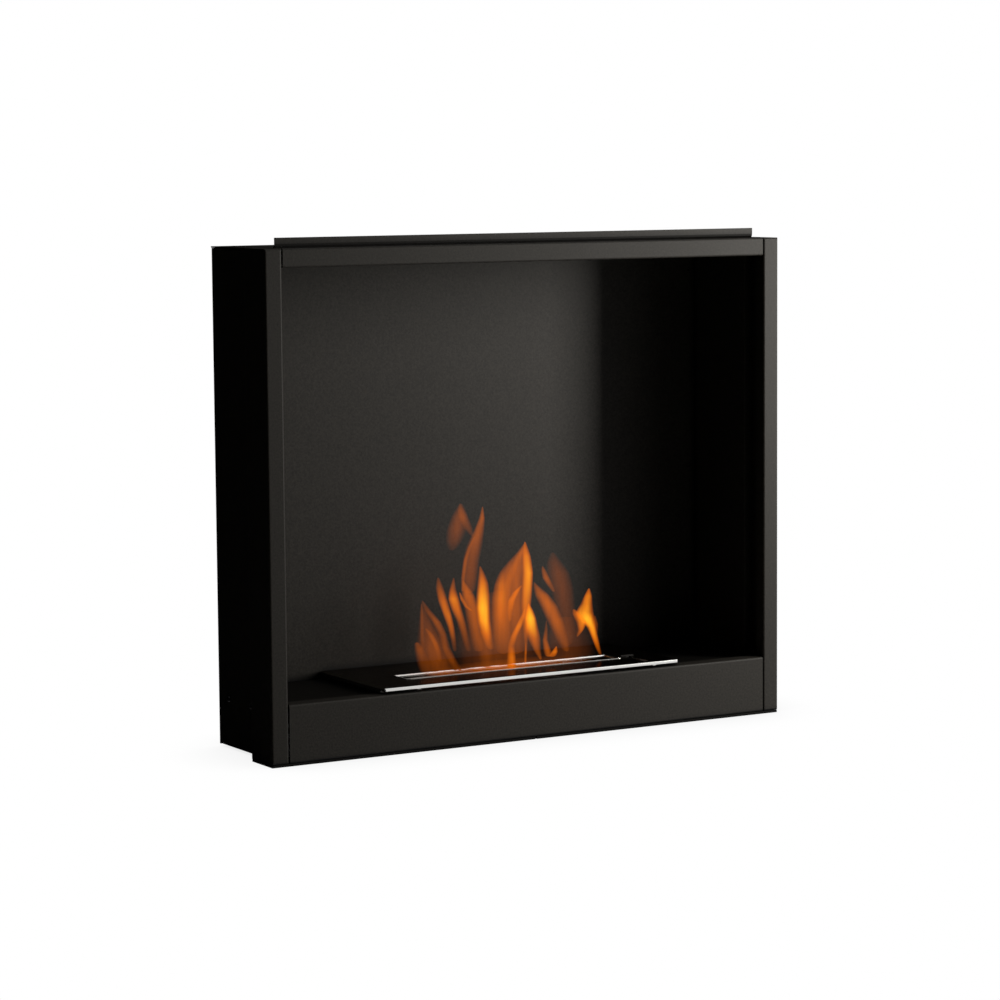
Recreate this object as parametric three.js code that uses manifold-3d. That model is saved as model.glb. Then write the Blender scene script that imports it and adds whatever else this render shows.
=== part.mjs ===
// Bioethanol fireplace: a shallow open firebox folded from black steel sheet, with a
// drop-in stainless burner whose sliding lid opens and closes the flame slot.
// Millimetres. X runs to the right, Y from the open front into the firebox, Z up.
// The origin is the middle of the footprint, on the surface that the feet stand on.

import * as THREE from 'three';
import { mergeVertices } from 'three/addons/utils/BufferGeometryUtils.js';
import Module from 'manifold-3d';

const manifold = await Module();
manifold.setup();

// ---- Driving dimensions: casing ----------------------------------------------------

const frameWidth = 650;
const frameHeight = 543;
const casingDepth = 154; // front face to the back flanges
const frameDepth = 50; // outer sides of the front frame
const boxInset = 12; // the box behind the frame is this much narrower on each side
const stileFace = 20;
const railFace = 20;
const sillFace = 63;
const faceReturn = 14; // inner edges of the frame, folded back
const railFlange = 19;
const sillFlange = 18;
const frameSeam = 1.2; // gap between a stile and the rail or sill

const sheet = 1.5; // casing steel
const bendInside = 0.6;
const clearance = 0.3; // between pieces that touch

const sideFlange = 20; // top and bottom edges of the side walls, folded in
const rearFlange = 18; // rear edges of the side walls, folded in
const panelFlange = 12; // stiffening edges of the back, base and floor panels
const floorSideFlange = 16;

const upstandHeight = 11; // front edge of the top panel, turned up behind the rail
const upstandSetback = 20;
const upstandInset = 22;
const upstandBend = 4.5;

const bracketLeg = 24;
const railBracketHeight = 15;
const sillBracketHeight = 48;
const sillBracketBase = 7;

const footHeight = 3;
const stripWidth = 16; // front feet: strips along the sill, turned back under the stiles
const stripInset = 0.5; // from the frame's outline
const stripGap = 2; // between the two strips
const padWidth = 18; // rear feet
const padLength = 36;
const padInset = 26; // from the sides of the box
const padSetback = 11;

// ---- Driving dimensions: burner ----------------------------------------------------

const coverSheet = 1.2;
const coverBend = 0.4;
const coverLip = 3.6; // edges of the cover, turned down
const coverCorner = 2;
const coverRise = 3.4; // gap between the sill's top and the cover's lip
const coverSetback = 2; // behind the frame's face
const coverRearGap = 1.7;
const coverOverhang = 17; // past the tank's rim, at each end

const slotLength = 273;
const slotWidth = 30;
const slotSetback = 60; // slot's centre line behind the frame's face
const collarWidth = 3;
const collarHeight = 0.5; // above the cover
const collarRound = 2; // inner edge, rolled down into the slot
const collarFlange = 2;
const collarCorner = 1.5;

const tankEndReach = 28.5; // past the slot's ends
const tankSideReach = 17; // past the slot's sides
const tankDepth = 38;
const tankSheet = 1;
const tankCorner = 8;
const tankBottomRadius = 4;
const tankRim = 7;

const trayGap = 3.5; // between the tank and the spill tray, all round
const trayFlange = 8;

const screenEndGap = 6; // from the tank's inner ends
const screenSideGap = 3.5; // from its inner sides
const screenDrop = 8; // screen's top below the floor
const screenSheet = 0.8;
const perforationLength = 9;
const perforationWidth = 4;
const perforationPitch = 15;
const perforationRowPitch = 13;
const perforationMargin = 8; // plain edge round the rows

const lidSheet = 1.2;
const lidOverlap = 5; // past the slot, front and back
const lidLeftReach = 10; // past the slot's left end
const lidTravel = 40;
const lidArmWidth = 17;
const lidArmTip = 6; // past the grip, to the front
const railSheet = 0.8;
const railLeg = 4.6;
const railMargin = 3; // past the lid's travel, front and back

const gripOffset = 15; // right of the slot's end
const gripSetback = 52; // behind the frame's face while the slot is open
const gripLength = 17;
const gripHeight = 1.4;
const gripThickness = 3;
const gripNeck = 4;
const gripFoot = 10;
const gripLift = 0.3; // bar above the cover
const guideClearance = 1;

const standLeg = 8;
const standSheet = 1;
const standInset = 5; // from the cover's ends
const standFrontSetback = 20;
const standRearSetback = 11;

// ---- Driving dimensions: screws ----------------------------------------------------

const screwRadius = 1.75;
const screwHeadRadius = 3.4;
const screwHeadHeight = 1.7;
const screwEdge = 10; // screw line from the edge of the flange that it holds
const screwInset = 17; // top and base screws from the ends of the box
const backScrewInset = 40; // from the top and bottom of the frame
const floorScrewFront = 22; // behind the frame
const floorScrewRear = 27; // in front of the back flanges
const panHeadHeight = 2;

// ---- Faceting -------------------------------------------------------------------

const bendSteps = 4;
const roundSegments = 16;

// ---- Derived places ----------------------------------------------------------------

const front = -casingDepth / 2;
const back = casingDepth / 2;
const frameBack = front + frameDepth;
const outerX = frameWidth / 2;
const boxX = outerX - boxInset;
const innerX = outerX - stileFace;
const bendOutside = bendInside + sheet;
const wallFace = boxX - sheet; // inner face of a side wall
const backFace = back - 2 * sheet - clearance; // front face of the back panel
const floorTop = sillFace - sheet - clearance;
const underTopPanel = frameHeight - sheet - clearance;
const railEnd = innerX - frameSeam;

const slotY = front + slotSetback;
const gripX = slotLength / 2 + gripOffset;
const tankLength = slotLength + 2 * tankEndReach;
const tankWidth = slotWidth + 2 * tankSideReach;
const coverLength = tankLength + 2 * (tankRim + coverOverhang);
const screenLength = tankLength - 2 * (tankSheet + screenEndGap);
const screenWidth = tankWidth - 2 * (tankSheet + screenSideGap);
const lipBottom = sillFace + coverRise - floorTop;
const coverTop = lipBottom + coverLip;
const coverUnderside = coverTop - coverSheet;
const railTop = coverUnderside - clearance;
const lidTop = railTop - railSheet - clearance;
const lidBottom = lidTop - lidSheet;
const railBottom = lidBottom - clearance - railSheet;
const rimTop = clearance + tankSheet;
const tankBottom = rimTop - tankDepth;
const tankFloor = tankBottom + tankSheet;
const gripClosedY = front + gripSetback - slotY - lidTravel;
const lidHalfWidth = slotWidth / 2 + lidOverlap;
const lidLeft = -slotLength / 2 - lidLeftReach;
const lidRight = gripX + lidArmWidth / 2;
const rearFootFront = back - padSetback - padLength;

// ---- Shapes ------------------------------------------------------------------------

const vector = (u, v) => new THREE.Vector2(u, v);
const leftOf = (direction) => vector(-direction.y, direction.x);

// Points of the arc that rounds one corner of an outline.
function bend(corner, into, out, radius) {
  const turn = Math.atan2(into.cross(out), into.dot(out));
  if (radius <= 0 || Math.abs(turn) < 1e-6) return [corner];
  const reach = radius * Math.tan(Math.abs(turn) / 2);
  const start = corner.clone().addScaledVector(into, -reach);
  const centre = start.clone().addScaledVector(leftOf(into), radius * Math.sign(turn));
  const points = [];
  for (let step = 0; step <= bendSteps; step += 1) {
    points.push(start.clone().rotateAround(centre, (turn * step) / bendSteps));
  }
  return points;
}

// Closed outline through the given corners, each [u, v] or [u, v, radius].
function outline(corners) {
  const points = corners.map(([u, v]) => vector(u, v));
  const count = points.length;
  const rounded = points.flatMap((corner, i) => {
    const into = corner.clone().sub(points[(i + count - 1) % count]).normalize();
    const out = points[(i + 1) % count].clone().sub(corner).normalize();
    return bend(corner, into, out, corners[i][2] ?? 0);
  });
  return new THREE.Shape(rounded);
}

const rectangle = (u0, u1, v0, v1, radius = 0) =>
  outline([[u0, v0, radius], [u1, v0, radius], [u1, v1, radius], [u0, v1, radius]]);

// Section of a folded sheet. The path follows one face, with the sheet on its left.
function foldedSection(path, thickness = sheet, inside = bendInside) {
  const points = path.map(([u, v]) => vector(u, v));
  const near = [];
  const far = [];
  points.forEach((corner, i) => {
    const into = i > 0 ? corner.clone().sub(points[i - 1]).normalize() : null;
    const out = i < points.length - 1 ? points[i + 1].clone().sub(corner).normalize() : null;
    if (!into || !out) {
      near.push(corner);
      far.push(corner.clone().addScaledVector(leftOf(into ?? out), thickness));
      return;
    }
    const across = leftOf(into).add(leftOf(out)).divideScalar(1 + into.dot(out));
    const opposite = corner.clone().addScaledVector(across, thickness);
    const leftTurn = into.cross(out) > 0;
    near.push(...bend(corner, into, out, leftTurn ? inside + thickness : inside));
    far.push(...bend(opposite, into, out, leftTurn ? inside : inside + thickness));
  });
  return new THREE.Shape([...near, ...far.reverse()]);
}

// ---- Solids ------------------------------------------------------------------------

const axisBases = {
  x: [[0, 1, 0], [0, 0, 1], [1, 0, 0]], // shape drawn in Y and Z
  y: [[1, 0, 0], [0, 0, 1], [0, -1, 0]], // shape drawn in X and Z
  z: [[1, 0, 0], [0, 1, 0], [0, 0, 1]], // shape drawn in X and Y
};

function toSolid(geometry) {
  geometry.deleteAttribute('normal');
  geometry.deleteAttribute('uv');
  const merged = mergeVertices(geometry, 1e-5);
  return new manifold.Manifold(new manifold.Mesh({
    numProp: 3,
    vertProperties: Float32Array.from(merged.attributes.position.array),
    triVerts: Uint32Array.from(merged.index.array),
  }));
}

// A shape drawn across an axis, extruded along it from one place to another.
function prism(shape, axis, from, to) {
  const geometry = new THREE.ExtrudeGeometry(shape, { depth: to - from, bevelEnabled: false });
  const [u, v, w] = axisBases[axis].map((base) => new THREE.Vector3(...base));
  const place = new THREE.Matrix4().makeBasis(u, v, w);
  place.setPosition(w.clone().multiplyScalar(axis === 'y' ? -to : from));
  return toSolid(geometry.applyMatrix4(place));
}

const block = (x0, x1, y0, y1, z0, z1) => prism(rectangle(x0, x1, y0, y1), 'z', z0, z1);
const join = (...solids) => solids.reduce((whole, solid) => whole.add(solid));
const cut = (solid, ...tools) => tools.reduce((whole, tool) => whole.subtract(tool), solid);
const common = (...solids) => solids.reduce((whole, solid) => whole.intersect(solid));

function toGeometry(solid) {
  const { vertProperties, triVerts } = solid.getMesh();
  const geometry = new THREE.BufferGeometry();
  geometry.setAttribute('position', new THREE.BufferAttribute(vertProperties, 3));
  geometry.setIndex(new THREE.BufferAttribute(triVerts, 1));
  geometry.computeVertexNormals();
  return geometry;
}

// The same solid seen in a mirror across the X = 0 plane.
const mirrored = (solid) => solid.mirror([1, 0, 0]);

// A block with rounded upright corners, and rounded edges round its closed end.
function pressedBlock([x0, x1], [y0, y1], [z0, z1], corner, edge, closedEnd) {
  const low = closedEnd === 'bottom' ? edge : 0;
  const high = closedEnd === 'top' ? edge : 0;
  const side = (a, b) => outline([[a, z0, low], [b, z0, low], [b, z1, high], [a, z1, high]]);
  return common(
    prism(rectangle(x0, x1, y0, y1, corner), 'z', z0, z1),
    prism(side(y0, y1), 'x', x0, x1),
    prism(side(x0, x1), 'y', y0, y1),
  );
}

// A straight channel along Y with its web on the outside and its legs turned inwards.
function channel(side, webX, leg, [z0, z1], [y0, y1], thickness) {
  const section = foldedSection(
    [[webX - leg, z0], [webX, z0], [webX, z1], [webX - leg, z1]],
    thickness,
    thickness / 2,
  );
  const right = prism(section, 'y', y0, y1);
  return side > 0 ? right : mirrored(right);
}

// ---- Screws ------------------------------------------------------------------------

// Profiles run from the head's top at Y = 0 down to the tip; `grow` turns one into its hole.
function countersunkProfile(length, grow = 0) {
  return [
    [0, grow], [screwHeadRadius + grow, grow], [screwHeadRadius + grow, -0.2],
    [screwRadius + grow, -screwHeadHeight], [screwRadius + grow, -length - grow],
    [0, -length - grow],
  ];
}

function panHeadProfile(length) {
  return [
    [0, panHeadHeight], [screwHeadRadius * 0.6, panHeadHeight],
    [screwHeadRadius * 0.9, panHeadHeight * 0.6], [screwHeadRadius, 0],
    [screwRadius, 0], [screwRadius, -length], [0, -length],
  ];
}

const turned = (profile) =>
  new THREE.LatheGeometry(profile.map(([u, v]) => vector(u, v)).reverse(), roundSegments);

const alongZ = new THREE.Euler(Math.PI / 2, 0, 0); // head up
const alongMinusZ = new THREE.Euler(-Math.PI / 2, 0, 0); // head down
const alongY = new THREE.Euler(0, 0, 0); // head to the back
const alongX = new THREE.Euler(0, 0, -Math.PI / 2); // head to the right
const alongMinusX = new THREE.Euler(0, 0, Math.PI / 2); // head to the left

// A turned tool set at a place with its head along the given direction.
function turnedSolid(profile, [x, y, z], facing) {
  const place = new THREE.Matrix4().makeRotationFromEuler(facing).setPosition(x, y, z);
  return toSolid(turned(profile).applyMatrix4(place));
}

const screwThrough = 2 * sheet + clearance; // two sheets and the gap between them
const screwLength = screwThrough - 0.2;
const floorScrewLength = screwThrough + 2;

const screwPlaces = {
  top: [frameBack + screwInset, back - screwInset].flatMap((y) =>
    [-1, 1].map((side) => [side * (boxX - screwEdge), y, frameHeight])),
  base: [frameBack + screwInset, rearFootFront - screwEdge].flatMap((y) =>
    [-1, 1].map((side) => [side * (boxX - screwEdge), y, 0])),
  back: [backScrewInset, frameHeight / 2, frameHeight - backScrewInset].flatMap((z) =>
    [-1, 1].map((side) => [side * (boxX - screwEdge), back, z])),
  floor: [frameBack + floorScrewFront, back - floorScrewRear].flatMap((y) =>
    [-1, 1].map((side) => [side * boxX, y, floorTop - (floorSideFlange + sheet) / 2])),
};

const screwHoles = (places, facing) =>
  places.map((place) => turnedSolid(countersunkProfile(screwThrough, clearance), place, facing));

const topHoles = screwHoles(screwPlaces.top, alongZ);
const baseHoles = screwHoles(screwPlaces.base, alongMinusZ);
const backHoles = screwHoles(screwPlaces.back, alongY);
const floorHoles = screwPlaces.floor.map(([x, y, z]) => {
  const hole = rectangle(y - 1, y + 1, z - 1, z + 1);
  hole.setFromPoints(new THREE.Path().absarc(y, z, screwRadius + clearance, 0, 2 * Math.PI)
    .getPoints(roundSegments).slice(0, -1));
  return prism(hole, 'x', x - 2 * screwThrough, x + 2 * screwThrough);
});

// ---- Casing ------------------------------------------------------------------------

// One sheet: rear flange, box side, step out to the frame, frame side, face and return.
function sideWall(side) {
  const section = foldedSection([
    [-boxX + rearFlange, back], [-boxX, back], [-boxX, frameBack], [-outerX, frameBack],
    [-outerX, front], [-innerX, front], [-innerX, front + faceReturn],
  ]);
  const cap = prism(outline([
    [-outerX, front, bendOutside], [-innerX, front, bendOutside],
    [-innerX, frameBack], [-outerX, frameBack, bendOutside],
  ]), 'z', 0, frameHeight);
  const capHollow = block(-outerX - 1, -innerX + 1, front - 1, frameBack + 1, sheet, frameHeight - sheet);
  const faceOutline = prism(outline([
    [front, 0, bendOutside], [back, 0], [back, frameHeight], [front, frameHeight, bendOutside],
  ]), 'x', -outerX - 1, -outerX + frameWidth / 4);
  const frame = common(join(prism(section, 'z', 0, frameHeight), cut(cap, capHollow)), faceOutline);

  // Above the box the wall stops under the top panel, and both its long edges fold in.
  const edgeStart = frameBack + sheet;
  const edgeEnd = backFace - clearance;
  const flange = (z, up) => foldedSection(up
    ? [[-boxX + sideFlange, z], [-boxX, z], [-boxX, z - 2 * bendOutside]]
    : [[-boxX, z + 2 * bendOutside], [-boxX, z], [-boxX + sideFlange, z]]);
  const trimmed = cut(
    frame,
    block(-boxX - 1, -boxX + sideFlange + 1, frameBack, back + 1, underTopPanel, frameHeight + 1),
    block(-boxX - 1, -boxX + 2 * sheet, edgeStart, edgeEnd, underTopPanel - bendOutside, frameHeight),
    block(-boxX - 1, -boxX + 2 * sheet, edgeStart, edgeEnd, -1, bendOutside),
  );
  const left = cut(
    join(
      trimmed,
      prism(flange(underTopPanel, true), 'y', edgeStart, edgeEnd),
      prism(flange(0, false), 'y', edgeStart, edgeEnd),
    ),
    ...topHoles, ...baseHoles, ...backHoles, ...floorHoles,
  );
  return side < 0 ? left : mirrored(left);
}

// Rail and sill: face between the stiles, upper edge and lower edge folded back.
function crossMember(low, high, upperDepth, lowerDepth) {
  const section = foldedSection([
    [front + upperDepth, high], [front, high], [front, low], [front + lowerDepth, low],
  ]);
  return prism(section, 'x', -railEnd, railEnd);
}

// Flat top panel with its front edge turned up behind the rail.
function topPanel() {
  const underside = frameHeight - sheet;
  const section = foldedSection([
    [front + upstandSetback, frameHeight + upstandHeight],
    [front + upstandSetback, underside],
    [back, underside],
  ], sheet, upstandBend);
  return cut(
    join(
      prism(section, 'x', -outerX + upstandInset, outerX - upstandInset),
      block(-boxX, boxX, frameBack + clearance, back, underside, frameHeight),
    ),
    ...topHoles,
  );
}

// Outline of the floor and base panels, which also close the pockets inside the stiles.
function deckOutline(frontEdge, rearEdge, rearHalfWidth) {
  const pocketFront = front + faceReturn + clearance;
  const pocketBack = frameBack - sheet - clearance;
  const pocketHalfWidth = outerX - sheet - clearance;
  const throat = innerX - 2 * clearance;
  const rightHalf = [
    [throat, frontEdge], [throat, pocketFront], [pocketHalfWidth, pocketFront],
    [pocketHalfWidth, pocketBack], [rearHalfWidth, pocketBack], [rearHalfWidth, rearEdge],
  ];
  const leftHalf = rightHalf.map(([x, y]) => [-x, y]).reverse();
  return outline([...rightHalf, ...leftHalf]);
}

function basePanel() {
  const bottom = sheet + clearance;
  const rear = backFace - clearance;
  const halfWidth = wallFace - clearance;
  const plate = prism(
    deckOutline(front + sheet + 2 * bendInside, rear - bendOutside, halfWidth),
    'z', bottom, bottom + sheet,
  );
  const rearEdge = prism(
    foldedSection([[rear - panelFlange, bottom], [rear, bottom], [rear, bottom + panelFlange]]),
    'x', -halfWidth, halfWidth,
  );
  return cut(join(plate, rearEdge), ...baseHoles);
}

function floorPanel() {
  const rear = backFace - clearance;
  const halfWidth = wallFace - clearance;
  const plate = prism(
    deckOutline(front + sillFlange - 8, rear - bendOutside, halfWidth - bendOutside),
    'z', floorTop - sheet, floorTop,
  );
  const rearEdge = prism(
    foldedSection([
      [rear, floorTop - panelFlange], [rear, floorTop], [rear - panelFlange, floorTop],
    ]),
    'x', -halfWidth + bendOutside, halfWidth - bendOutside,
  );
  const sideEdge = channelEdge(halfWidth, frameBack + clearance, rear - bendOutside);
  const burnerOpening = prism(
    rectangle(-tankLength / 2 - sheet, tankLength / 2 + sheet,
      slotY - tankWidth / 2 - sheet, slotY + tankWidth / 2 + sheet, tankCorner),
    'z', floorTop - 2 * sheet, floorTop + sheet,
  );
  return cut(join(plate, rearEdge, sideEdge, mirrored(sideEdge)), burnerOpening, ...floorHoles);
}

// Right-hand edge of the floor, folded down against the side wall.
function channelEdge(edgeX, y0, y1) {
  const section = foldedSection([
    [edgeX, floorTop - floorSideFlange], [edgeX, floorTop], [edgeX - panelFlange, floorTop],
  ]);
  return prism(section, 'y', y0, y1);
}

function backPanel() {
  const rear = backFace + sheet;
  const low = 2 * (sheet + clearance);
  const halfWidth = wallFace - clearance;
  const flangeHalfWidth = boxX - sideFlange - 2 * bendOutside;
  const section = foldedSection([
    [rear, low], [rear, underTopPanel], [rear - panelFlange, underTopPanel],
  ]);
  return cut(
    join(
      block(-halfWidth, halfWidth, backFace, rear, low, underTopPanel - bendOutside - clearance),
      prism(section, 'x', -flangeHalfWidth, flangeHalfWidth),
    ),
    ...backHoles,
  );
}

// Angle that ties a rail or sill to the stile's return, inside the channel.
function cornerBracket(side, low, height) {
  const x = -innerX + clearance;
  const y = front + sheet + clearance;
  const section = foldedSection([
    [x, front + faceReturn - 1], [x, y], [x + bracketLeg, y],
  ]);
  const left = prism(section, 'z', low, low + height);
  return side < 0 ? left : mirrored(left);
}

// Strip under one half of the front, with a leg that runs back under the stile.
function frontFoot(side) {
  const far = outerX - stripInset;
  const near = front + stripInset;
  const right = prism(outline([
    [stripGap / 2, near], [far, near, 1], [far, frameBack - stripInset, 1],
    [far - stripWidth, frameBack - stripInset], [far - stripWidth, near + stripWidth],
    [stripGap / 2, near + stripWidth],
  ]), 'z', -footHeight, -clearance);
  return side > 0 ? right : mirrored(right);
}

// Pad that stands clear of the side wall's lower edge and reaches up to the base panel.
const rearFoot = () => prism(
  rectangle(-padWidth / 2, padWidth / 2, -padLength / 2, padLength / 2, 3),
  'z', -footHeight, sheet,
);

// Open-topped pressed tray with a flange turned out round its rim.
function pressedTray(length, width, [bottom, top], thickness, corner, bottomRadius, rim) {
  const halfLength = length / 2;
  const halfWidth = width / 2;
  const outside = pressedBlock(
    [-halfLength, halfLength], [-halfWidth, halfWidth], [bottom, top],
    corner, bottomRadius, 'bottom',
  );
  const inside = pressedBlock(
    [-halfLength + thickness, halfLength - thickness],
    [-halfWidth + thickness, halfWidth - thickness], [bottom + thickness, top + 1],
    corner - thickness, bottomRadius - thickness, 'bottom',
  );
  const flange = prism(
    rectangle(-halfLength - rim, halfLength + rim, -halfWidth - rim, halfWidth + rim, corner + rim),
    'z', top - thickness, top,
  );
  return cut(join(outside, flange), inside);
}

const spillTray = () => pressedTray(
  tankLength + 2 * (trayGap + tankSheet), tankWidth + 2 * (trayGap + tankSheet),
  [tankBottom - trayGap - tankSheet, -sheet - clearance],
  tankSheet, tankCorner + trayGap, tankBottomRadius + tankSheet, trayFlange,
);

// ---- Burner, drawn about the slot's centre at the height of the floor --------------

const fuelTank = () => pressedTray(
  tankLength, tankWidth, [tankBottom, rimTop], tankSheet, tankCorner, tankBottomRadius, tankRim,
);

function burnerCover() {
  const half = coverLength / 2;
  const near = front + coverSetback - slotY;
  const far = backFace - coverRearGap - slotY;
  const outside = pressedBlock(
    [-half, half], [near, far], [lipBottom, coverTop],
    coverCorner, coverBend + coverSheet, 'top',
  );
  const inside = pressedBlock(
    [-half + coverSheet, half - coverSheet], [near + coverSheet, far - coverSheet],
    [lipBottom - 1, coverUnderside], coverCorner - coverSheet, coverBend, 'top',
  );
  const grown = collarWidth + clearance;
  const slot = prism(
    rectangle(-slotLength / 2 - grown, slotLength / 2 + grown,
      -slotWidth / 2 - grown, slotWidth / 2 + grown, collarCorner + grown),
    'z', lipBottom, coverTop + 1,
  );
  const guideHalf = gripNeck / 2 + guideClearance;
  const guide = prism(
    rectangle(gripX - guideHalf, gripX + guideHalf, gripClosedY - gripThickness / 2 - guideClearance,
      gripClosedY + lidTravel + gripThickness / 2 + guideClearance, guideHalf - 0.1),
    'z', lipBottom, coverTop + 1,
  );
  return cut(outside, inside, slot, guide);
}

// A section carried round the slot; its U runs outwards from the slot's edge, its V up.
function roundSlot(section) {
  const loops = section.getPoints().map(({ x: grow, y: z }) => rectangle(
    -slotLength / 2 - grow, slotLength / 2 + grow,
    -slotWidth / 2 - grow, slotWidth / 2 + grow, collarCorner + grow,
  ).getPoints().map((point) => [point.x, point.y, z]));
  const perLoop = loops[0].length;
  const index = [];
  loops.forEach((loop, j) => loop.forEach((point, i) => {
    const corner = (along, across) =>
      ((j + across) % loops.length) * perLoop + ((i + along) % perLoop);
    index.push(corner(0, 0), corner(1, 0), corner(1, 1), corner(0, 0), corner(1, 1), corner(0, 1));
  }));
  const geometry = new THREE.BufferGeometry();
  geometry.setAttribute('position', new THREE.Float32BufferAttribute(loops.flat(2), 3));
  geometry.setIndex(index);
  return toSolid(geometry);
}

// Collar let into the cover, rolled down into the slot and welded underneath by its flange.
function slotCollar() {
  const low = railTop - railSheet;
  const high = coverTop + collarHeight;
  const reach = collarWidth + collarFlange;
  return roundSlot(outline([
    [0, low], [reach, low], [reach, railTop], [collarWidth, railTop],
    [collarWidth, high, collarHeight / 2], [0, high, collarRound],
  ]));
}

const screenBottom = tankFloor + clearance;

// Perforated bridge that keeps the wool down, standing on the tank's floor.
function woolScreen() {
  const half = screenWidth / 2;
  const bridge = prism(
    foldedSection([
      [half, screenBottom], [half, -screenDrop], [-half, -screenDrop], [-half, screenBottom],
    ], screenSheet, screenSheet),
    'x', -screenLength / 2, screenLength / 2,
  );
  const columns = Math.round((screenLength - 2 * perforationMargin) / perforationPitch);
  const rows = Math.round((screenWidth - 2 * perforationMargin) / perforationRowPitch);
  const holes = [];
  for (let row = 0; row < rows; row += 1) {
    for (let column = 0; column < columns; column += 1) {
      const x = (column - (columns - 1) / 2) * perforationPitch;
      const y = (row - (rows - 1) / 2) * perforationRowPitch;
      holes.push(block(
        x - perforationLength / 2, x + perforationLength / 2,
        y - perforationWidth / 2, y + perforationWidth / 2,
        -screenDrop - 2 * screenSheet, -screenDrop + screenSheet,
      ));
    }
  }
  return cut(bridge, ...holes);
}

const woolPad = () => {
  const halfLength = screenLength / 2;
  const halfWidth = screenWidth / 2 - screenSheet - clearance;
  return prism(
    rectangle(-halfLength, halfLength, -halfWidth, halfWidth, screenSheet),
    'z', screenBottom, -screenDrop - screenSheet - clearance,
  );
};

const coverStand = (side) => channel(
  side, coverLength / 2 - standInset, standLeg, [clearance, railTop],
  [front + standFrontSetback - slotY, backFace - standRearSetback - slotY], standSheet,
);

function lidRail(side) {
  const lidEdge = side > 0 ? lidRight : -lidLeft;
  const nearEnd = gripClosedY - lidArmTip - railMargin / 2;
  const farEnd = lidTravel + lidHalfWidth + railMargin;
  return channel(
    side, lidEdge + clearance + railSheet, railLeg, [railBottom, railTop],
    [nearEnd, farEnd], railSheet,
  );
}

// ---- Lid, drawn in its closed place over the slot ----------------------------------

function lidPlate() {
  const arm = lidRight - lidArmWidth;
  return prism(outline([
    [lidLeft, -lidHalfWidth, 1], [arm, -lidHalfWidth, 2],
    [arm, gripClosedY - lidArmTip, 2], [lidRight, gripClosedY - lidArmTip, 2],
    [lidRight, lidHalfWidth, 1], [lidLeft, lidHalfWidth, 1],
  ]), 'z', lidBottom, lidTop);
}

// Foot on the lid's arm, neck through the guide slot, finger bar above the cover.
function lidGrip() {
  const foot = lidTop + clearance;
  const barBottom = coverTop + gripLift;
  const neckAndBar = prism(outline([
    [-gripNeck / 2, foot], [gripNeck / 2, foot], [gripNeck / 2, barBottom],
    [gripLength / 2, barBottom, gripHeight / 4], [gripLength / 2, barBottom + gripHeight, gripHeight / 2],
    [-gripLength / 2, barBottom + gripHeight, gripHeight / 2], [-gripLength / 2, barBottom, gripHeight / 4],
    [-gripNeck / 2, barBottom],
  ]), 'y', -gripThickness / 2, gripThickness / 2);
  return join(neckAndBar, block(
    -gripFoot / 2, gripFoot / 2, -gripFoot / 2, gripFoot / 2, foot, coverUnderside - clearance,
  ));
}

// ---- Materials ---------------------------------------------------------------------

const finish = (color, roughness, metalness) =>
  new THREE.MeshStandardMaterial({ color, roughness, metalness });

const materials = {
  powderCoat: finish(0x1c1b1a, 0.6, 0.1),
  zincSteel: finish(0x8a8c8d, 0.45, 0.9),
  polishedSteel: finish(0xc9c8c4, 0.2, 1),
  brushedSteel: finish(0xb4b4b0, 0.35, 1),
  ceramicWool: finish(0xe6e1d6, 1, 0),
  rubber: finish(0x141414, 0.9, 0),
  blackScrew: finish(0x202020, 0.4, 0.8),
};

// ---- Assembly ----------------------------------------------------------------------

function piece(name, solid, material) {
  const mesh = new THREE.Mesh(toGeometry(solid), material);
  mesh.name = name;
  return mesh;
}

const housing = new THREE.Group();
housing.position.z = footHeight;

const burner = new THREE.Group();
burner.position.set(0, slotY, floorTop + footHeight);

const lid = new THREE.Group();
lid.position.y = lidTravel; // stored open, behind the slot
burner.add(lid);

const { powderCoat, zincSteel, polishedSteel, brushedSteel } = materials;
const sides = [['left', -1], ['right', 1]];

housing.add(
  piece('top_rail', crossMember(frameHeight - railFace, frameHeight, railFlange, faceReturn), powderCoat),
  piece('front_sill', crossMember(0, sillFace, sillFlange, sillFlange), powderCoat),
  piece('top_panel', topPanel(), powderCoat),
  piece('back_panel', backPanel(), powderCoat),
  piece('base_panel', basePanel(), powderCoat),
  piece('floor_panel', floorPanel(), powderCoat),
);

for (const [name, side] of sides) {
  housing.add(
    piece(`side_wall_${name}`, sideWall(side), powderCoat),
    piece(`rail_bracket_${name}`,
      cornerBracket(side, frameHeight - sheet - clearance - railBracketHeight, railBracketHeight),
      zincSteel),
    piece(`sill_bracket_${name}`, cornerBracket(side, sillBracketBase, sillBracketHeight), zincSteel),
  );
  const pad = piece(`foot_rear_${name}`, rearFoot(), materials.rubber);
  pad.position.set(
    side * (boxX - padInset - padWidth / 2), rearFootFront + padLength / 2, 0,
  );
  housing.add(piece(`foot_front_${name}`, frontFoot(side), materials.rubber), pad);

  burner.add(
    piece(`cover_stand_${name}`, coverStand(side), brushedSteel),
    piece(`lid_rail_${name}`, lidRail(side), brushedSteel),
  );
}

const tray = piece('spill_tray', spillTray(), zincSteel);
tray.position.set(0, slotY, floorTop);
housing.add(tray);

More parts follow.
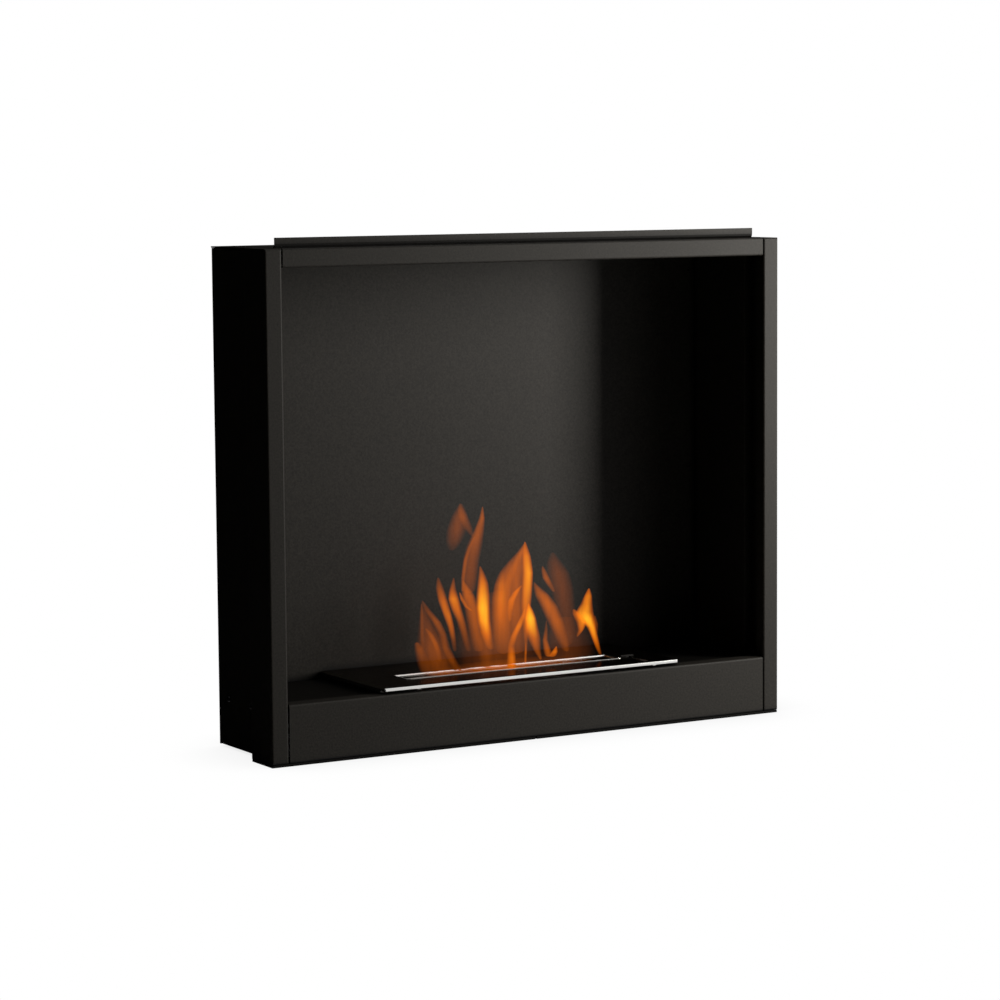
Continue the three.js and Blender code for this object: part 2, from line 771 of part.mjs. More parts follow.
const screwRows = [
  ['top', countersunkProfile(screwLength), () => alongZ],
  ['base', countersunkProfile(screwLength), () => alongMinusZ],
  ['back', countersunkProfile(screwLength), () => alongY],
  ['floor', panHeadProfile(floorScrewLength), (x) => (x > 0 ? alongX : alongMinusX)],
];
for (const [row, profile, facing] of screwRows) {
  screwPlaces[row].forEach(([x, y, z], i) => {
    const screw = new THREE.Mesh(toGeometry(toSolid(turned(profile))), materials.blackScrew);
    screw.name = `${row}_screw_${i + 1}`;
    const stand = row === 'floor' ? Math.sign(x) * clearance : 0; // pan heads sit on the wall
    screw.position.set(x + stand, y, z);
    screw.rotation.copy(facing(x));
    housing.add(screw);
  });
}

burner.add(
  piece('burner_cover', burnerCover(), polishedSteel),
  piece('slot_collar', slotCollar(), polishedSteel),
  piece('fuel_tank', fuelTank(), brushedSteel),
  piece('wool_screen', woolScreen(), brushedSteel),
  piece('wool_pad', woolPad(), materials.ceramicWool),
);

const grip = piece('lid_grip', lidGrip(), powderCoat);
grip.position.set(gripX, gripClosedY, 0);
lid.add(piece('lid_plate', lidPlate(), brushedSteel), grip);

const fireplace = new THREE.Group();
fireplace.add(housing, burner);
fireplace.updateMatrixWorld(true);

export default fireplace;
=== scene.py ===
"""Looks of the bioethanol fireplace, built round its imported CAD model.

Metres, in the CAD frame: X to the right, Y into the firebox, Z up, with the floor at 0.
"""

import math

import bpy
from mathutils import Matrix, Vector


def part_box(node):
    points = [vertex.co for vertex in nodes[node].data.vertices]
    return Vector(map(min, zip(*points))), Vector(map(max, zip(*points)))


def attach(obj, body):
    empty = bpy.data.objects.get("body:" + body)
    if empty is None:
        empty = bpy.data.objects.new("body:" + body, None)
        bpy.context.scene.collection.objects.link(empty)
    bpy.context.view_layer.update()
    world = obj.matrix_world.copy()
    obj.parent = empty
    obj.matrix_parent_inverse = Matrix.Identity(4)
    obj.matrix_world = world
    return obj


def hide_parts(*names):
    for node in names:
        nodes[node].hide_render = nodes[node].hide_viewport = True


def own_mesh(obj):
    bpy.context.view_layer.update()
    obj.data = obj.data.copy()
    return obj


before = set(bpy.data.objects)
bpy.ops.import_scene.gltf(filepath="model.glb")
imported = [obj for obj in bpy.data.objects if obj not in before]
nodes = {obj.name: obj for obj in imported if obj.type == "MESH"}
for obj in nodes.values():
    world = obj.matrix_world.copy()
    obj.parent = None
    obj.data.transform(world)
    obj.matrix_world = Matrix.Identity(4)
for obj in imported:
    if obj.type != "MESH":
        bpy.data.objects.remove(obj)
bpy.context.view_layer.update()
bpy.ops.object.select_all(action="DESELECT")


# ---- Camera: the photograph's viewing angle -------------------------------------------

camera_place = Vector((-1.8253, -3.1133, 0.6327))
camera_yaw = math.radians(30.394)  # to the right of straight ahead
camera_dip = math.radians(5.916)
camera_roll = math.radians(-0.462)
camera_lens = 117.05  # mm
camera_sensor = 36  # mm
frame_pixels = 1000  # width and height of the picture


def add_camera():
    ahead = Vector((
        math.sin(camera_yaw) * math.cos(camera_dip),
        math.cos(camera_yaw) * math.cos(camera_dip),
        -math.sin(camera_dip),
    ))
    level = Vector((math.cos(camera_yaw), -math.sin(camera_yaw), 0))
    below = ahead.cross(level)
    right = level * math.cos(camera_roll) - below * math.sin(camera_roll)
    down = level * math.sin(camera_roll) + below * math.cos(camera_roll)
    place = Matrix((right, -down, -ahead)).transposed().to_4x4()
    place.translation = camera_place
    bpy.ops.object.camera_add()
    camera = bpy.context.object
    camera.matrix_world = place
    camera.data.sensor_width = camera_sensor
    camera.data.lens = camera_lens
    bpy.context.scene.camera = camera


# ---- Materials --------------------------------------------------------------------------


def paint(hex_code):
    """An sRGB hex colour as the linear RGBA that a shader takes."""
    values = [int(hex_code[i:i + 2], 16) / 255 for i in (1, 3, 5)]
    return [v / 12.92 if v <= 0.04045 else ((v + 0.055) / 1.055) ** 2.4 for v in values] + [1]


def add(tree, kind, inputs=None, **settings):
    """Adds one shader node; an input is a value, or the socket that feeds it."""
    made = tree.nodes.new("ShaderNode" + kind)
    for name, value in settings.items():
        setattr(made, name, value)
    for name, value in (inputs or {}).items():
        if isinstance(value, bpy.types.NodeSocket):
            tree.links.new(value, made.inputs[name])
        else:
            made.inputs[name].default_value = value
    return made


def new_material(name, **values):
    """A material with values set on its Principled shader.

    Returns the material, its tree, its shader and the object coordinates.
    """
    material = bpy.data.materials.new(name)
    material.use_nodes = True
    tree = material.node_tree
    shader = tree.nodes["Principled BSDF"]
    for socket, value in values.items():
        shader.inputs[socket.replace("_", " ")].default_value = value
    return material, tree, shader, add(tree, "TexCoord").outputs["Object"]


def noise(tree, vector, size, detail=2.0, roughness=0.5):
    """Noise whose grains are about the given size in metres."""
    return add(tree, "TexNoise", {
        "Vector": vector, "Scale": 1 / size, "Detail": detail, "Roughness": roughness,
    }).outputs["Fac"]


def between(tree, factor, low, high):
    """A value that runs from low to high over the middle range of a noise."""
    return add(tree, "MapRange", {
        "Value": factor, "From Min": 0.3, "From Max": 0.7, "To Min": low, "To Max": high,
    }).outputs["Result"]


def blended(tree, factor, first, second):
    """A colour that runs from the first to the second with the factor."""
    return add(tree, "Mix", {0: factor, 6: first, 7: second}, data_type="RGBA").outputs[2]


def relief(tree, height, depth, normal=None):
    """Bump of the given depth in metres, on top of another bump if one is given."""
    inputs = {"Height": height, "Distance": depth, "Strength": 1}
    if normal:
        inputs["Normal"] = normal
    return add(tree, "Bump", inputs).outputs["Normal"]


def feed(tree, shader, **sockets):
    for name, socket in sockets.items():
        tree.links.new(socket, shader.inputs[name.replace("_", " ")])


def painted_corner_shade(tree, reach):
    """1 on open faces, falling to 0 within the reach of inner corners: the mask of a painted shade
    that darkens the colour there.
    """
    bare = add(tree, "AmbientOcclusion", {"Distance": reach}, samples=8).outputs["AO"]
    return add(tree, "MapRange", {
        "Value": bare, "From Min": 0.5, "From Max": 0.85,
    }).outputs["Result"]


def black_powder_coat(name, light, dark, gloss):
    # Baked polyester powder on steel sheet: satin black, softly broken up by a fine grain, with
    # painted shade darkening it to black in inner corners.
    material, tree, shader, place = new_material(name, Specular_IOR_Level=gloss)
    grain = noise(tree, place, size=0.0022, detail=3, roughness=0.7)
    peel = noise(tree, place, size=0.007)
    patch = noise(tree, place, size=0.16, detail=3)
    # Painted shade: ambient occlusion fades the colour to black near inner corners.
    away_from_painted_shade = painted_corner_shade(tree, reach=0.014)
    colour = blended(tree, between(tree, grain, 0, 1), paint(dark), paint(light))
    uneven = relief(tree, peel, depth=0.00006)
    feed(
        tree, shader,
        Base_Color=blended(tree, away_from_painted_shade, paint("#000000"), colour),
        Roughness=between(tree, patch, 0.48, 0.52),
        Normal=relief(tree, grain, depth=0.00008, normal=uneven),
    )
    return material


def galvanised_steel():
    # Hot-dip zinc on sheet: dull grey, with spangles a few millimetres across.
    material, tree, shader, place = new_material("galvanised_steel", Metallic=1.0)
    spangle = add(tree, "TexVoronoi", {"Vector": place, "Scale": 1 / 0.006}).outputs["Color"]
    tone = add(tree, "SeparateColor", {"Color": spangle}).outputs["Red"]
    feed(
        tree, shader,
        Base_Color=blended(tree, tone, paint("#7f8284"), paint("#a4a7a8")),
        Roughness=between(tree, tone, 0.38, 0.55),
    )
    return material


def foot_rubber():
    # Moulded rubber: matt black with a slight bloom.
    material, tree, shader, place = new_material(
        "foot_rubber", Roughness=0.85, Specular_IOR_Level=0.05,
    )
    bloom = noise(tree, place, size=0.004, detail=4)
    feed(tree, shader, Base_Color=blended(tree, bloom, paint("#060606"), paint("#0d0d0c")))
    return material


def brushed_lines(tree, place, along):
    """Noise drawn out along one axis, as a brush or belt leaves it."""
    line_width, line_length = 0.0007, 0.05
    scale = [1 / line_length if axis == along else 1 / line_width for axis in "xyz"]
    stretched = add(tree, "Mapping", {"Vector": place, "Scale": scale}).outputs["Vector"]
    return add(tree, "TexNoise", {"Vector": stretched, "Scale": 1, "Detail": 3}).outputs["Fac"]


def polished_stainless():
    # Bright stainless sheet: a near mirror with the faintest lengthwise polishing lines, and
    # painted darker and brown on its upward faces, on top, where the flames stand: a painted dim,
    # warm reflection.
    material, tree, shader, place = new_material(
        "polished_stainless", Metallic=1.0, Specular_Tint=paint("#9c9a97"),
    )
    lines = brushed_lines(tree, place, "x")
    # Painted reflection: faces that point up take a dark brown colour in place of the bright
    # metal's.
    facing = add(tree, "SeparateXYZ", {0: add(tree, "TexCoord").outputs["Normal"]}).outputs["Z"]
    painted_dark_top = add(tree, "MapRange", {
        "Value": facing, "From Min": 0.75, "From Max": 0.98,
    }).outputs["Result"]
    bright = blended(tree, lines, paint("#c6c5c2"), paint("#d3d2cf"))
    feed(
        tree, shader,
        Base_Color=blended(tree, painted_dark_top, bright, paint("#6a6058")),
        Roughness=between(tree, lines, 0.12, 0.18),
        Normal=relief(tree, lines, depth=0.000004),
    )
    return material


def brushed_stainless():
    # Belt-ground stainless: lengthwise lines and a broad, soft gloss.
    material, tree, shader, place = new_material("brushed_stainless", Metallic=1.0)
    lines = brushed_lines(tree, place, "x")
    feed(
        tree, shader,
        Base_Color=blended(tree, lines, paint("#a9a9a6"), paint("#bebdba")),
        Roughness=between(tree, lines, 0.28, 0.4),
        Normal=relief(tree, lines, depth=0.00001),
    )
    return material


def ceramic_wool():
    # Ceramic fibre blanket: white, matt and matted in short strands.
    material, tree, shader, place = new_material("ceramic_wool", Roughness=1.0)
    strands = noise(tree, place, size=0.0025, detail=6, roughness=0.7)
    feed(
        tree, shader,
        Base_Color=blended(tree, between(tree, strands, 0, 1), paint("#cfc9bc"), paint("#f0ece2")),
        Normal=relief(tree, strands, depth=0.0008),
    )
    return material


def blackened_screw_steel():
    # Black-oxide screws: dark, a little oily, worn grey on the edges of the drive.
    material, tree, shader, place = new_material("blackened_screw_steel", Metallic=1.0)
    wear = noise(tree, place, size=0.0012, detail=3)
    feed(
        tree, shader,
        Base_Color=blended(tree, wear, paint("#1b1b1c"), paint("#3a3a3a")),
        Roughness=between(tree, wear, 0.3, 0.5),
    )
    return material


finishes = {
    "powder_coated_steel": black_powder_coat("black_powder_coat", "#1f1d1a", "#0e0d0b", 0.09),
    # The firebox floor takes a darker, less glossy copy of the coat: painted shade for the shade
    # the floor lies in.
    "shade_darkened_floor": black_powder_coat("shade_darkened_powder_coat", "#090807", "#040403", 0.035),
    "galvanised_steel": galvanised_steel(),
    "rubber_foot": foot_rubber(),
    "polished_stainless": polished_stainless(),
    "brushed_stainless": brushed_stainless(),
    "ceramic_wool": ceramic_wool(),
    "black_screw": blackened_screw_steel(),
}

slot_of_piece = {
    # The floor panel gets the darker copy of the coat, which is painted shade.
    "floor_panel": "shade_darkened_floor",
    "bracket": "galvanised_steel",
    "spill_tray": "galvanised_steel",
    "foot": "rubber_foot",
    "screw": "black_screw",
    "burner_cover": "polished_stainless",
    "slot_collar": "polished_stainless",
    "fuel_tank": "brushed_stainless",
    "wool_screen": "brushed_stainless",
    "cover_stand": "brushed_stainless",
    "lid_rail": "brushed_stainless",
    "lid_plate": "brushed_stainless",
    "wool_pad": "ceramic_wool",
}


def finish_cad_nodes():
    for name, node in nodes.items():
        named = [slot for word, slot in slot_of_piece.items() if word in name]
        node.data.materials.clear()
        node.data.materials.append(finishes[named[0] if named else "powder_coated_steel"])


# ---- Screws ---------------------------------------------------------------------------------

screw_sides = 32
head_radius = 0.0034
shank_radius = 0.00175
socket_radius = 0.0014  # of the hexagonal recess, over its corners
socket_depth = 0.0011
burr = 0.00012  # edges are broken this much
sharp_edge = math.radians(35)  # edges that turn more than this are broken, and stay sharp

# Radius and height of each ring, from the tip up; the head's face or its underside is at 0.
countersunk_rings = [
    (shank_radius, -0.0031), (shank_radius, -0.0017), (head_radius, -0.0002), (head_radius, 0),
]
pan_head_rings = [
    (shank_radius, -0.0053), (shank_radius, 0), (head_radius, 0),
    (0.9 * head_radius, 0.0012), (0.6 * head_radius, 0.002),
]


def drawn_out(sides, rings, flatness=1):
    """A closed round bar through rings of (middle, radius), each drawn out of the one before."""
    start, radius = rings[0]
    bpy.ops.mesh.primitive_circle_add(vertices=sides, radius=1, fill_type="NGON", location=start)
    bar = bpy.context.object
    bpy.ops.object.mode_set(mode="EDIT")
    bpy.ops.mesh.select_all(action="SELECT")
    bpy.ops.transform.resize(value=(radius, radius * flatness, 1), center_override=start)
    for (before, last), (middle, radius) in zip(rings, rings[1:]):
        bpy.ops.mesh.extrude_region_move(TRANSFORM_OT_translate={"value": middle - before})
        bpy.ops.transform.resize(
            value=(radius / last, radius / last, 1), center_override=middle,
        )
    bpy.ops.mesh.select_all(action="SELECT")
    bpy.ops.mesh.normals_make_consistent(inside=False)
    bpy.ops.object.mode_set(mode="OBJECT")
    return bar


def apply_modifier(piece, kind, **settings):
    modifier = piece.modifiers.new(kind.lower(), kind)
    for name, value in settings.items():
        setattr(modifier, name, value)
    bpy.context.view_layer.objects.active = piece
    bpy.ops.object.modifier_apply(modifier=modifier.name)


def socket_screw(rings):
    """A screw that points down, with a hexagonal recess in its head."""
    screw = drawn_out(screw_sides, [(Vector((0, 0, height)), radius) for radius, height in rings])
    bpy.ops.mesh.primitive_cylinder_add(
        vertices=6, radius=socket_radius, depth=2 * socket_depth, location=(0, 0, rings[-1][1]),
    )
    recess = bpy.context.object
    apply_modifier(screw, "BOOLEAN", object=recess, operation="DIFFERENCE", solver="EXACT")
    bpy.data.objects.remove(recess)
    apply_modifier(screw, "BEVEL", width=burr, segments=2, angle_limit=sharp_edge)
    bpy.ops.object.select_all(action="DESELECT")
    screw.select_set(True)
    bpy.ops.object.shade_smooth_by_angle(angle=sharp_edge)
    return screw


def facing_of(node_name):
    """The way that a screw's head faces."""
    if node_name.startswith("floor"):
        low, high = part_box(node_name)
        return Vector((math.copysign(1, low[0] + high[0]), 0, 0))
    outwards = {"top": (0, 0, 1), "base": (0, 0, -1), "back": (0, 1, 0)}
    return Vector(outwards[node_name.split("_")[0]])


def fit_screws():
    countersunk = socket_screw(countersunk_rings)
    pan_head = socket_screw(pan_head_rings)
    for node_name in [name for name in nodes if "_screw_" in name]:
        pattern = pan_head if node_name.startswith("floor") else countersunk
        facing = facing_of(node_name)
        low, high = (Vector(corner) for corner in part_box(node_name))
        head = max(corner[2] for corner in pattern.bound_box)
        reach = max(abs((corner - (low + high) / 2).dot(facing)) for corner in (low, high))
        place = (low + high) / 2 + facing * (reach - head)
        screw = pattern.copy()
        screw.data = pattern.data.copy()
        screw.name = "socket_" + node_name
        bpy.context.collection.objects.link(screw)
        turn = facing.to_track_quat("Z", "Y").to_matrix().to_4x4()
        screw.matrix_world = Matrix.Translation(place) @ turn
        bpy.ops.object.select_all(action="DESELECT")
        screw.select_set(True)
        bpy.context.view_layer.objects.active = screw
        bpy.ops.object.transform_apply(location=True, rotation=True, scale=True)
        screw.data.materials.append(finishes["black_screw"])
        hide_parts(node_name)
        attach(screw, "housing")
    for pattern in (countersunk, pan_head):
        bpy.data.objects.remove(pattern)


# ---- Flames -------------------------------------------------------------------------------

# Each tongue has its place behind the slot's centre line in millimetres, and its stations
# from the root to the tip. A station is the pixel of the picture that the tongue's middle
# passes through (X and Y), half its width there in pixels, and its heat: how opaque each of
# its two surfaces is, and how yellow.
flame_tongues = {
    "left_body": (3, [
        (441, 676, 20, 0.03), (437, 662, 19, 0.055), (432, 648, 17, 0.065),
        (428, 632, 11, 0.05), (424, 614, 5, 0.03), (421.8, 601, 0.8, 0.01),
    ]),
    "left_low": (-3, [
        (426, 674, 6, 0.015), (423, 662, 7, 0.03), (419.5, 650, 5.5, 0.06),
        (416.5, 642, 2.8, 0.04),
    ]),
    "left_fold": (-5, [
        (440, 662, 3, 0.01), (438, 651, 3, 0.03), (435, 643, 3.2, 0.06), (431, 635, 3.2, 0.05),
        (425.5, 628, 1.5, 0.02),
    ]),
    "left_swept": (4, [
        (459, 672, 5, 0.02), (452, 660, 5, 0.05), (446, 648, 4.6, 0.06),
        (442.5, 634, 4.6, 0.07), (436.5, 622, 4.8, 0.09), (428, 611, 3.6, 0.05),
        (422, 600, 0.8, 0.02),
    ]),
    "left_edge": (-6, [
        (423, 650, 3, 0.01), (422, 634, 2.4, 0.03), (421.8, 616, 2.2, 0.035),
        (421.5, 603, 0.8, 0.02),
    ]),
    "second": (0, [
        (455, 652, 2.4, 0.01), (453.5, 640, 3, 0.05), (451, 627, 3.6, 0.16),
        (447.5, 615, 4.4, 0.24), (443, 601, 5.2, 0.2), (439.5, 588, 4.4, 0.09),
        (438, 577, 1.2, 0.02),
    ]),
    "third": (5, [
        (469, 652, 3.4, 0.01), (465, 637, 4, 0.045), (461, 621, 4.6, 0.11),
        (456, 608, 5.6, 0.22), (453.5, 599, 5.8, 0.3), (452.5, 590, 3.8, 0.12),
        (453.8, 577, 0.8, 0.015),
    ]),
    "fourth": (-2, [
        (479, 652, 6, 0.02), (477, 640, 6.5, 0.06), (474.5, 624, 7, 0.1), (472, 608, 8, 0.13),
        (468, 595, 7, 0.17), (464.5, 585, 3, 0.1), (463, 580, 0.8, 0.03),
    ]),
    "fourth_edge": (-5, [
        (472, 611, 2, 0.05), (466.5, 607, 2.4, 0.12), (462, 599, 2.2, 0.16),
        (459.5, 592, 0.8, 0.05),
    ]),
    "tall": (6, [
        (469, 594, 7, 0.03), (469.5, 578, 8.5, 0.055), (471, 560, 9, 0.06),
        (474.5, 545, 8.5, 0.08), (479, 531, 5.5, 0.11), (482, 518, 3.2, 0.13),
        (482.6, 506, 0.7, 0.04),
    ]),
    "tall_edge": (3, [
        (462.5, 592, 2, 0.04), (463, 578, 2.4, 0.07), (465.5, 560, 2.4, 0.07),
        (469.5, 547, 2.2, 0.05), (475, 536, 1, 0.02),
    ]),
    "streak": (-5, [
        (491, 650, 4, 0.02), (488, 641, 5, 0.1), (486, 632, 6, 0.26), (484, 621, 6.5, 0.46),
        (483, 608, 7, 0.56), (483, 596, 7, 0.42), (483, 583, 5.8, 0.26),
        (481.5, 573, 3.2, 0.12), (480, 566, 0.9, 0.05),
    ]),
    "streak_foot": (-3, [
        (487, 668, 7, 0.01), (486, 655, 8, 0.035), (484, 642, 7, 0.04), (482, 630, 3, 0.02),
    ]),
    "centre_left": (3, [
        (504, 655, 8, 0.02), (502, 634, 9, 0.09), (501, 614, 9.5, 0.18), (501, 598, 9.5, 0.23),
        (503, 584, 9, 0.21), (507.5, 572, 9, 0.13), (514, 562, 7, 0.1), (521, 552, 4, 0.1),
        (524.5, 543, 0.8, 0.04),
    ]),
    "centre_right": (-3, [
        (526, 655, 1.4, 0.03), (526, 642, 2.2, 0.06), (526, 625, 3.6, 0.15),
        (526, 606, 5.2, 0.24), (527, 590, 5.6, 0.32), (528, 573, 5.6, 0.38),
        (526.5, 556, 4.6, 0.28), (524.8, 541, 0.9, 0.08),
    ]),
    "centre_veil": (7, [
        (517, 655, 10, 0.02), (516, 630, 12, 0.06), (515, 606, 13, 0.11), (515, 584, 12, 0.13),
        (518, 568, 9, 0.14), (522, 553, 4, 0.1), (524.5, 544, 0.8, 0.03),
    ]),
    "inner": (0, [
        (510, 622, 1.8, 0.03), (510, 611, 3, 0.1), (511.5, 600, 4, 0.2), (516, 592, 3.4, 0.18),
        (522, 585, 1.2, 0.08),
    ]),
    "front_bright": (-7, [
        (541, 660, 1.6, 0.05), (537, 650, 4, 0.1), (534, 638, 7, 0.2), (531.5, 628, 6.8, 0.42),
        (530.3, 618, 6, 0.62), (529.5, 610, 3.6, 0.4), (528.5, 603, 0.8, 0.1),
    ]),
    "front_swept": (-8, [
        (511.5, 672, 5, 0.16), (511.5, 657, 4.6, 0.24), (511, 646, 3.6, 0.1),
        (514, 636, 3.8, 0.16), (519, 626, 3.6, 0.26), (523, 616, 2.6, 0.2),
        (525, 608, 0.7, 0.05),
    ]),
    "right_wide": (4, [
        (567, 652, 4, 0.02), (562, 639, 6.5, 0.06), (556, 622, 8.5, 0.14), (549, 606, 9, 0.17),
        (542, 595, 7.5, 0.16), (536, 586, 3, 0.06), (534, 582, 0.8, 0.02),
    ]),
    "right_small": (0, [
        (554, 592, 2, 0.03), (550, 585, 3.4, 0.07), (546, 578, 4, 0.13),
        (543.5, 570, 2.6, 0.09), (542.5, 566, 0.8, 0.03),
    ]),
    "right_veil": (8, [
        (567, 648, 8, 0.01), (566, 612, 10, 0.03), (562, 588, 12, 0.04), (558, 573, 12, 0.04),
        (554, 562, 8, 0.03), (552.5, 552, 2, 0.01),
    ]),
    "far_right": (-2, [
        (601, 656, 1.6, 0.02), (598, 648, 2.6, 0.12), (595, 638, 3.4, 0.28),
        (591.5, 627, 4.4, 0.42), (586, 618, 8.5, 0.55), (584, 612, 9.5, 0.4),
        (586.5, 604, 6, 0.32), (588, 596, 4.4, 0.3), (589, 588, 0.9, 0.1),
    ]),
    "far_right_lobe": (-4, [
        (577, 637, 1.4, 0.04), (581, 630, 3, 0.2), (582, 622, 6, 0.3), (577, 614, 5, 0.2),
        (573.5, 609, 1.4, 0.06),
    ]),
    "far_right_red": (5, [
        (596.5, 634, 1.8, 0.02), (595.5, 624, 3, 0.08), (594.5, 615, 1, 0.03),
    ]),
    "low_flick": (-6, [
        (552, 657, 4.5, 0.08), (554.5, 652, 3.6, 0.26), (556.5, 646, 0.7, 0.1),
    ]),
    "low_strand": (-4, [
        (549, 657, 4.5, 0.08), (547, 649, 4, 0.13), (545, 640, 2.8, 0.11), (546, 630, 2, 0.05),
        (546.5, 620, 0.7, 0.02),
    ]),
    "thin_strand": (-7, [
        (525.4, 664, 1.4, 0.1), (525.6, 652, 1.4, 0.1), (525.8, 642, 0.8, 0.03),
    ]),
    "puff": (2, [
        (452, 551, 4, 0.006), (454, 541, 9, 0.03), (457, 529, 11, 0.05), (460, 516, 9, 0.05),
        (461, 503, 2, 0.01),
    ]),
    "puff_edge": (-2, [
        (473, 537, 2, 0.01), (468, 528, 5, 0.04), (464, 519, 5.5, 0.06), (461, 510, 4, 0.045),
        (460, 503, 1, 0.01),
    ]),
    "slot_glow": (0, [
        (506, 673, 84, 0.05), (506, 668, 90, 0.1), (506, 664, 86, 0.035), (506, 659, 66, 0.005),
    ]),
    "middle_haze": (9, [
        (500, 674, 42, 0.015), (500, 657, 48, 0.035), (498, 636, 46, 0.04),
        (496, 612, 36, 0.03), (498, 590, 14, 0.01),
    ]),
    "right_haze": (9, [
        (570, 666, 26, 0.01), (568, 653, 30, 0.022), (566, 636, 28, 0.022),
        (564, 616, 16, 0.01),
    ]),
}
flame_middle = -0.017  # Y of the slot's centre line
flame_sides = 12  # sides of a tongue's section
flame_flatness = 0.45  # thickness over width
flame_thickest = 0.007  # no half thickness is more than this
flicker_scale = (120, 120, 14)  # grains per metre, drawn out upwards
flicker_least = 0.75
flicker_most = 1.25
yellow_from = 0.18  # heat
yellow_full = 0.5


def on_slot(pixel_x, pixel_y, depth):
    """The place on an upright plane through the slot that the camera sees at a pixel."""
    camera = bpy.context.scene.camera
    pixel = camera.data.sensor_width / camera.data.lens / frame_pixels
    centre = frame_pixels / 2
    through = Vector(((pixel_x - centre) * pixel, (centre - pixel_y) * pixel, -1))
    aim = camera.matrix_world.to_3x3() @ through
    return camera_place + aim * ((depth - camera_place.y) / aim.y)


def flame_tongue(behind, stations):
    """One closed tongue, drawn up from its root through its stations."""
    depth = flame_middle + behind / 1000
    middles = [on_slot(x, y, depth) for x, y, _, _ in stations]
    widths = [on_slot(x + half, y, depth).x - on_slot(x, y, depth).x for x, y, half, _ in stations]
    flatness = min(flame_flatness, flame_thickest / max(widths))
    tongue = drawn_out(flame_sides, list(zip(middles, widths)), flatness)
    apply_modifier(tongue, "SUBSURF", levels=2, render_levels=2)
    bpy.ops.object.transform_apply(location=True, rotation=True, scale=True)
    heats = [heat for _, _, _, heat in stations]
    shade = tongue.data.attributes.new("glow", "FLOAT", "POINT")
    shade.data.foreach_set("value", [
        flame_heat(vertex.co, middles, widths, heats) for vertex in tongue.data.vertices
    ])
    return tongue


def flame_heat(point, middles, widths, heats):
    """Heat at a point: the tongue's own at that height, fading out to its edges."""
    stretches = range(len(middles) - 1)
    i = max((k for k in stretches if middles[k].z <= point.z), default=0)
    span = middles[i + 1].z - middles[i].z
    t = min(max((point.z - middles[i].z) / span, 0), 1)
    middle = middles[i].x + (middles[i + 1].x - middles[i].x) * t
    width = widths[i] + (widths[i + 1] - widths[i]) * t
    edge = min(abs(point.x - middle) / width, 1)
    return (heats[i] + (heats[i + 1] - heats[i]) * t) * (1 - edge * edge) ** 2


def ethanol_flame():
    # Burning ethanol: a thin orange glow that the wall shows through, yellow where it is hot.
    material, tree, shader, place = new_material(
        "ethanol_flame", Base_Color=paint("#000000"), Roughness=1.0,
        Specular_IOR_Level=0, Emission_Strength=1.6,
    )
    heat = add(tree, "Attribute", attribute_name="glow").outputs["Fac"]
    stretch = add(tree, "Mapping", {"Vector": place, "Scale": flicker_scale}).outputs["Vector"]
    flicker = add(tree, "TexNoise", {"Vector": stretch, "Scale": 1, "Detail": 2}).outputs["Fac"]
    lively = add(tree, "Math", {
        0: heat, 1: between(tree, flicker, flicker_least, flicker_most),
    }, operation="MULTIPLY")
    hot = add(tree, "MapRange", {
        "Value": heat, "From Min": yellow_from, "From Max": yellow_full,
    }).outputs["Result"]
    feed(
        tree, shader,
        Emission_Color=blended(tree, hot, paint("#ff7a0c"), paint("#ffae26")),
        Alpha=lively.outputs[0],
    )
    return material


def light_flames():
    tongues = [flame_tongue(*shape) for shape in flame_tongues.values()]
    bpy.ops.object.select_all(action="DESELECT")
    for tongue in tongues:
        tongue.select_set(True)
    bpy.context.view_layer.objects.active = tongues[0]
    bpy.ops.object.join()
    flames = tongues[0]
    flames.name = "flames"
    bpy.ops.object.shade_smooth()
    flames.data.materials.clear()
    flames.data.materials.append(ethanol_flame())
    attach(flames, "burner")
    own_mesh(flames)
    bpy.ops.object.select_all(action="DESELECT")


# ---- Stage: floor, black cards and lamps ------------------------------------------------

floor_size = 60.0
contact_reach = 0.12  # of the shadow round the feet
contact_shade = 0.8
key_aim = Vector((0.165, 0.074, 0.35))  # on the back panel
key_distance = 1.38
key_bearing = math.radians(45.5)  # to the right of the front
key_height = math.radians(11)
key_width = 0.28
key_tall = 0.9
key_power = 45
key_colour = "#fffbf4"
back_lamp_place = Vector((1.25, 1.35, 0.28))
back_lamp_width = 0.5
back_lamp_tall = 0.4  # its upper edge stays under the top of the fireplace
back_lamp_power = 20
card_reach = 2.6  # from the fireplace to each card
card_middle = 0.5  # height of its centre
card_tall = 8.0
world_fill = 0.018  # light from all sides


def pale_floor():
    """White to the camera, with the object's soft contact shadow painted in by ambient occlusion.
    """
    bpy.ops.mesh.primitive_plane_add(size=floor_size)
    floor = bpy.context.object
    floor.name = "floor"
    material, tree, shader, _ = new_material(
        "pale_floor", Base_Color=paint("#e6e6e4"), Roughness=0.9,
    )
    # Painted shadow: ambient occlusion darkens the white that the camera sees round the object.
    contact = add(tree, "AmbientOcclusion", {"Distance": contact_reach}, samples=16).outputs["AO"]
    shade = add(tree, "MapRange", {
        "Value": contact, "From Min": 0.0, "From Max": 0.9,
        "To Min": contact_shade, "To Max": 1.0,
    }).outputs["Result"]
    white = add(tree, "Emission", {"Color": paint("#ffffff"), "Strength": shade}).outputs[0]
    seen = add(tree, "LightPath").outputs["Is Camera Ray"]
    mixed = add(tree, "MixShader", {0: seen, 1: shader.outputs[0], 2: white}).outputs[0]
    tree.links.new(mixed, tree.nodes["Material Output"].inputs["Surface"])
    floor.data.materials.append(material)
    floor.visible_glossy = False


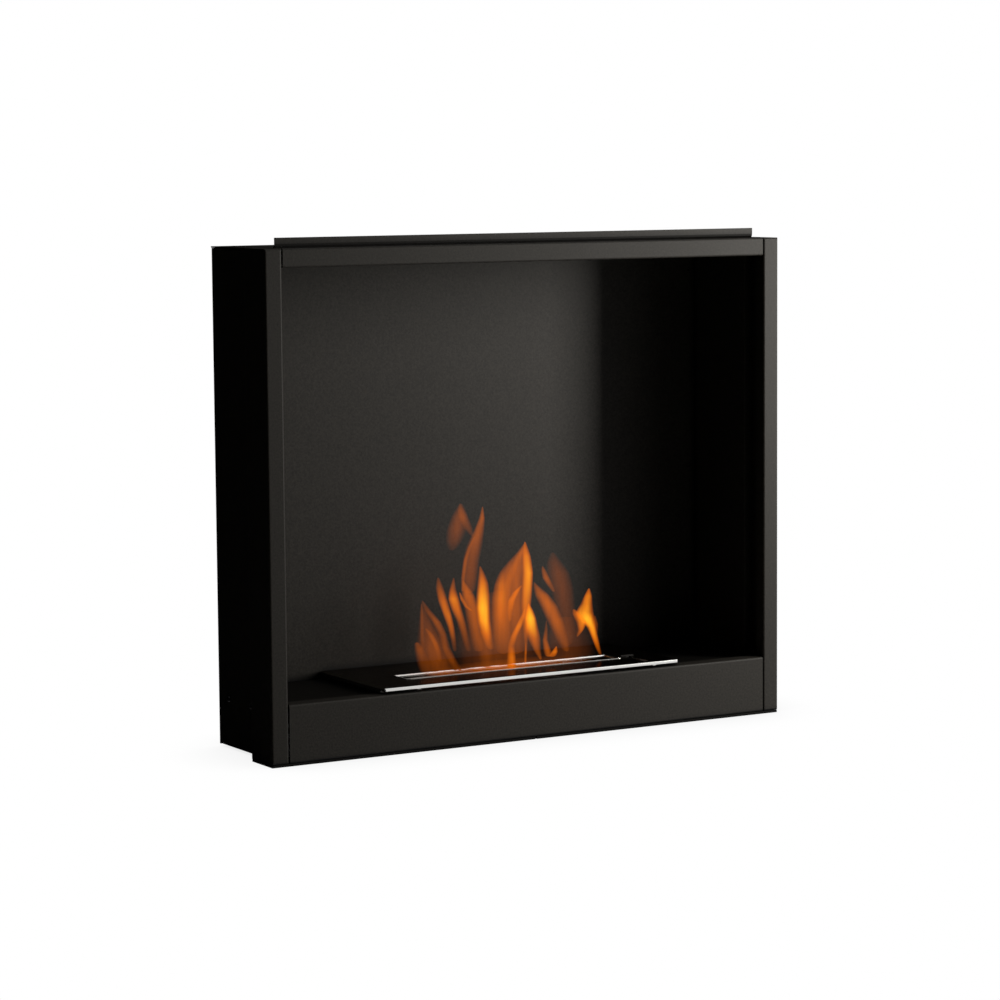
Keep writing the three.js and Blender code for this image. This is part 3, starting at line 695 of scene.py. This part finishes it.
def black_card(name, x, y, facing, width):
    """A photographer's black card: unseen by the camera, it keeps light and reflections off."""
    bpy.ops.mesh.primitive_plane_add(size=1)
    card = bpy.context.object
    card.name = name
    turn = Vector(facing).to_track_quat("Z", "Y").to_matrix().to_4x4()
    size = Matrix.Diagonal((width, card_tall, 1, 1))
    card.matrix_world = Matrix.Translation((x, y, card_middle)) @ turn @ size
    card.data.materials.append(new_material(
        "black_card", Base_Color=paint("#000000"), Roughness=1.0, Specular_IOR_Level=0,
    )[0])
    card.visible_camera = False
    card.visible_shadow = False


def softbox(name, place, back, width, tall, power, colour="#ffffff"):
    """An area lamp that shines against the given direction."""
    bpy.ops.object.light_add(type="AREA", location=place)
    lamp = bpy.context.object
    lamp.name = name
    lamp.data.shape = "RECTANGLE"
    lamp.data.size = width
    lamp.data.size_y = tall
    lamp.data.energy = power
    lamp.data.color = paint(colour)[:3]
    lamp.rotation_euler = back.to_track_quat("Z", "Y").to_euler()


def add_lamps():
    back = Vector((
        math.sin(key_bearing) * math.cos(key_height),
        -math.cos(key_bearing) * math.cos(key_height),
        math.sin(key_height),
    ))
    key_place = key_aim + back * key_distance
    softbox("key_softbox", key_place, back, key_width, key_tall, key_power, key_colour)
    aside = Vector((back_lamp_place.x, back_lamp_place.y, 0))
    softbox(
        "back_softbox", back_lamp_place, aside,
        back_lamp_width, back_lamp_tall, back_lamp_power,
    )


def white_world():
    """White where it is seen or mirrored, and a low even fill as a light."""
    world = bpy.data.worlds.new("white_surroundings")
    bpy.context.scene.world = world
    world.use_nodes = True
    tree = world.node_tree
    paths = add(tree, "LightPath").outputs
    seen = paths["Is Camera Ray"]
    for name in ("Is Glossy Ray", "Is Transmission Ray"):
        seen = add(tree, "Math", {0: seen, 1: paths[name]}, operation="MAXIMUM").outputs[0]
    strength = add(tree, "MapRange", {
        "Value": seen, "To Min": world_fill, "To Max": 1.0,
    }).outputs["Result"]
    background = tree.nodes["Background"]
    background.inputs["Color"].default_value = paint("#ffffff")
    tree.links.new(strength, background.inputs["Strength"])


add_camera()
finish_cad_nodes()
fit_screws()
light_flames()
pale_floor()
black_card("card_left", x=-card_reach, y=0, facing=(1, 0, 0), width=8)
black_card("card_front", x=-1.8, y=-card_reach, facing=(0, 1, 0), width=5.6)
black_card("card_behind", x=-0.4, y=card_reach, facing=(0, -1, 0), width=8.6)
add_lamps()
white_world()
bpy.context.scene.view_settings.view_transform = "Standard"
